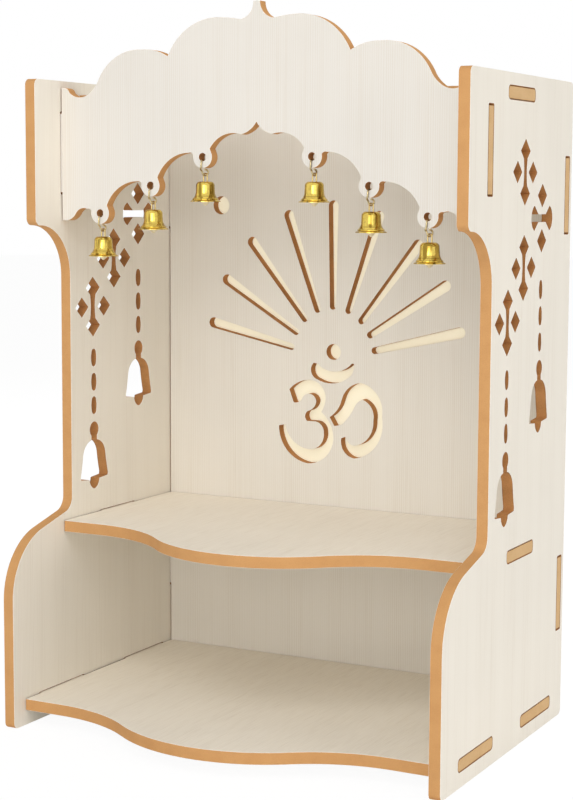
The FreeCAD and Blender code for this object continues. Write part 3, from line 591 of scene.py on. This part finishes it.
def turned_brass(name, bright, dull, rough_low, rough_high, eye_colour=None):
    """Polished brass with turning lines, upright dark streaks painted as reflections and a
    little tarnish.
    """
    material, tree = empty_material(name)
    place = put(tree, "ShaderNodeTexCoord").outputs["Object"]
    rings = put(tree, "ShaderNodeMapping", {"Vector": place, "Scale": (0.02, 0.02, 1.0)})
    upright = put(tree, "ShaderNodeMapping", {"Vector": place, "Scale": (1.0, 1.0, 0.10)})
    lathe = noise(tree, rings.outputs[0], 5200.0, 2.0)
    painted_reflection_noise = noise(tree, upright.outputs[0], 300.0, 2.0)
    tarnish = noise(tree, place, 420.0, 4.0, 0.6)
    worn = ranged(tree, tarnish, 0.42, 0.75, 0.0, 0.45)
    # painted reflection: upright dark streaks in the brass colour
    painted_reflection_streak = ranged(tree, painted_reflection_noise, 0.52, 0.64, 0.0, 0.85, interpolation_type="SMOOTHSTEP")
    brass = between(tree, reckon(tree, "MAXIMUM", worn, painted_reflection_streak), bright, dull)
    if eye_colour:
        spot = put(tree, "ShaderNodeTexCoord").outputs["Generated"]
        height = put(tree, "ShaderNodeSeparateXYZ", {0: spot}).outputs["Z"]
        # darker in a band just above the bead
        groove = ranged(tree, height, BEAD_TOP, GROOVE_HEAD, GROOVE_DARKENING, 0.0,
                        interpolation_type="SMOOTHSTEP")
        above = reckon(tree, "GREATER_THAN", height, GROOVE_FOOT)
        brass = between(tree, reckon(tree, "MULTIPLY", groove, above), brass, dull)
        eye = reckon(tree, "GREATER_THAN", height, BELL_TOP)
        brass = between(tree, eye, brass, eye_colour)
    close_material(tree, {"Base Color": brass, "Metallic": 1.0,
                          "Roughness": ranged(tree, tarnish, 0.3, 0.7, rough_low, rough_high),
                          "Normal": uneven(tree, lathe, 0.12, 0.00004)})
    return material


bell_brass = turned_brass("bell_brass", BELL_GOLD, BELL_BROWN, 0.12, 0.22, EYE_COLOUR)
clapper_brass = turned_brass("clapper_brass", CLAPPER_PALE, CLAPPER_DULL, 0.30, 0.45)
for k in range(1, 7):
    for node, finish in (("bell_%d" % k, bell_brass), ("clapper_%d" % k, clapper_brass)):
        nodes[node].data.materials.clear()
        nodes[node].data.materials.append(finish)

# Bell hooks
# Each bell hangs on an open hook of bent brass wire: in through the drop's hole, down
# over its front, back under its foot and round the bell's eye in a small ring.
# The dull colour serves the tarnish and the painted dark reflection streaks.
HOOK_BRIGHT = (0.70, 0.58, 0.33, 1)
HOOK_DULL = (0.20, 0.13, 0.05, 1)
WIRE_RADIUS = 0.00056
HOLE_ABOVE_PIVOT = 0.00185
MM_PER_METRE = 1000
# depth and height of the wire's bends from the middle of the hole, in mm
HOOK_BENDS = [(5.3, -6.1), (5.25, -4.5), (4.95, -2.6), (3.5, -1.85), (0.0, -1.85),
              (-3.5, -1.85), (-4.95, -2.6), (-5.2, -4.4), (-4.95, -6.5), (-4.2, -7.7),
              (-3.0, -8.3), (-2.5, -9.5), (-2.0, -10.8), (-0.6, -11.45), (0.9, -11.3),
              (2.2, -10.4), (2.4, -9.0), (1.5, -7.8), (-0.3, -7.6)]
# the ring is turned below the first height, fully so after the drop that follows;
# the legs are stretched below the last height, in mm
RING_STARTS = -6.3
RING_DROP = 1.5
STRETCH_STARTS = -3
# how far each hook's ring is turned, in degrees, and how much its legs are stretched
HOOKS = [(13, 1.00), (18, 0.97), (20, 1.02), (8, 1.03), (19, 0.98), (20, 1.01)]

hook_brass = turned_brass("hook_brass", HOOK_BRIGHT, HOOK_DULL, 0.20, 0.36)
crown_low, crown_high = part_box("crown")
hook_y = (crown_low.y + crown_high.y) / 2
pivots = {joint["name"]: joint["pos_m"] for joint in frame["joints"]}
for k, (ring_turn, stretch) in enumerate(HOOKS, 1):
    low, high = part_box("link_%d" % k)
    hook_x = (low.x + high.x) / 2
    hole_z = pivots["link_swing_%d" % k][2] + HOLE_ABOVE_PIVOT
    turn = math.radians(ring_turn)
    wire = bpy.data.curves.new("hook_%d" % k, "CURVE")
    wire.dimensions = "3D"
    wire.bevel_depth = WIRE_RADIUS
    wire.bevel_resolution = 4
    wire.resolution_u = 6
    wire.use_fill_caps = True
    line = wire.splines.new("NURBS")
    line.points.add(len(HOOK_BENDS) - 1)
    for point, (out, height) in zip(line.points, HOOK_BENDS):
        turned = min(max((RING_STARTS - height) / RING_DROP, 0), 1)
        if turned == 0 and height < STRETCH_STARTS:
            height *= stretch
        point.co = (hook_x + out * math.sin(turn) * turned / MM_PER_METRE,
                    hook_y + out * math.cos(turn * turned) / MM_PER_METRE,
                    hole_z + height / MM_PER_METRE, 1)
    line.order_u = 3
    line.use_endpoint_u = True
    wire.materials.append(hook_brass)
    hook = bpy.data.objects.new("hook_%d" % k, wire)
    bpy.context.scene.collection.objects.link(hook)
    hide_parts("link_%d" % k)
    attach(hook, "link_%d" % k)

low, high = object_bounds()
